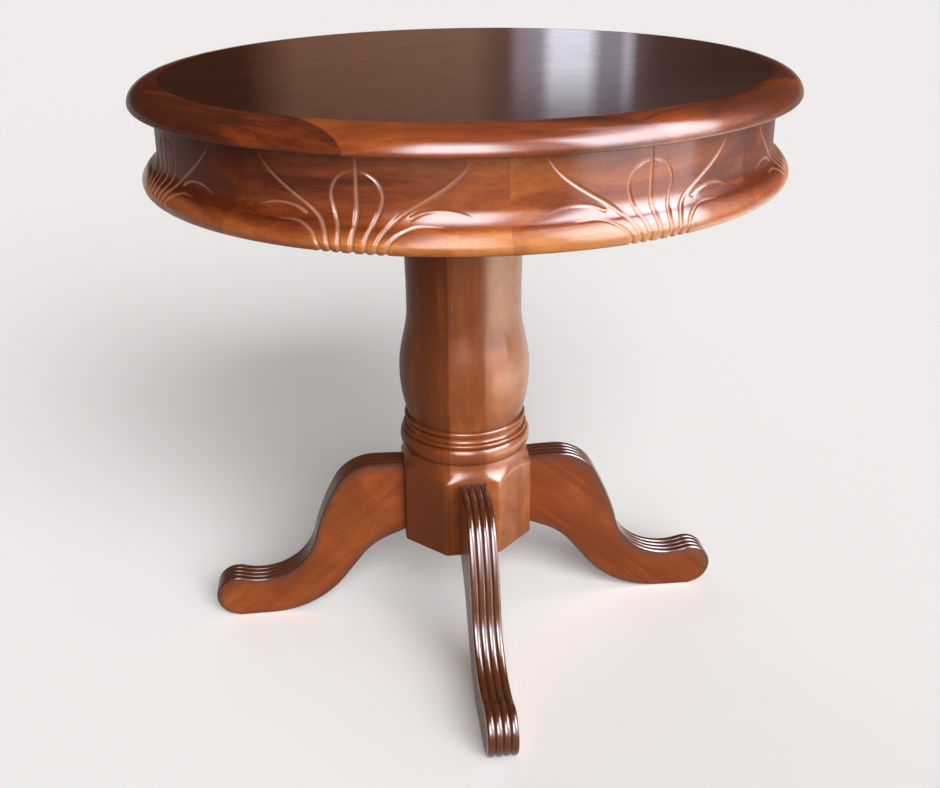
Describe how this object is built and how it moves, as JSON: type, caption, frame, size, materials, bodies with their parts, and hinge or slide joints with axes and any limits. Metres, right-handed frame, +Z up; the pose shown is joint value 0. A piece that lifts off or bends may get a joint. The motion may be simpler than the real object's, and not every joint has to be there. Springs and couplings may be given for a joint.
{
  "type": "round pedestal table",
  "caption": "Round pedestal table with a rounded rim, an ogee apron, a turned column on an octagonal block and reeded S-shaped legs with scroll toes.",
  "frame": {"origin": "on the floor under the middle of the column, where the four feet rest", "axes": "+Z up along the column and the top's axis; -Y along the front leg, +X along the right leg"},
  "size_m": [0.8, 0.8, 0.762],
  "materials": {
    "top_wood": "dark mahogany stain under a high-gloss lacquer",
    "rim_wood": "red-brown mahogany stain under a high-gloss lacquer",
    "apron_wood": "red-brown mahogany stain under a gloss lacquer",
    "column_wood": "red-brown mahogany stain under a gloss lacquer",
    "leg_wood": "red-brown mahogany stain under a gloss lacquer",
    "plain_wood": "plain hardwood with a thin brown wash",
    "screw_steel": "plain steel wood screws"
  },
  "bodies": {
    "root": {"top_panel": "top_wood", "rim_1": "rim_wood", "rim_2": "rim_wood", "rim_3": "rim_wood", "rim_4": "rim_wood", "rim_5": "rim_wood", "rim_6": "rim_wood", "rim_7": "rim_wood", "rim_8": "rim_wood", "apron_1": "apron_wood", "apron_2": "apron_wood", "apron_3": "apron_wood", "apron_4": "apron_wood", "apron_5": "apron_wood", "apron_6": "apron_wood", "apron_7": "apron_wood", "apron_8": "apron_wood", "apron_splines": "plain_wood", "glue_block_1": "plain_wood", "glue_block_2": "plain_wood", "glue_block_3": "plain_wood", "glue_block_4": "plain_wood", "glue_block_5": "plain_wood", "glue_block_6": "plain_wood", "glue_block_7": "plain_wood", "glue_block_8": "plain_wood", "block_screws": "screw_steel", "bearer_x": "plain_wood", "bearer_y": "plain_wood", "bearer_screws": "screw_steel", "mounting_block": "plain_wood", "mount_screws": "screw_steel", "column": "column_wood", "tenon_wedge": "plain_wood", "leg_front": "leg_wood", "leg_right": "leg_wood", "leg_back": "leg_wood", "leg_left": "leg_wood"}
  },
  "joints": []
}
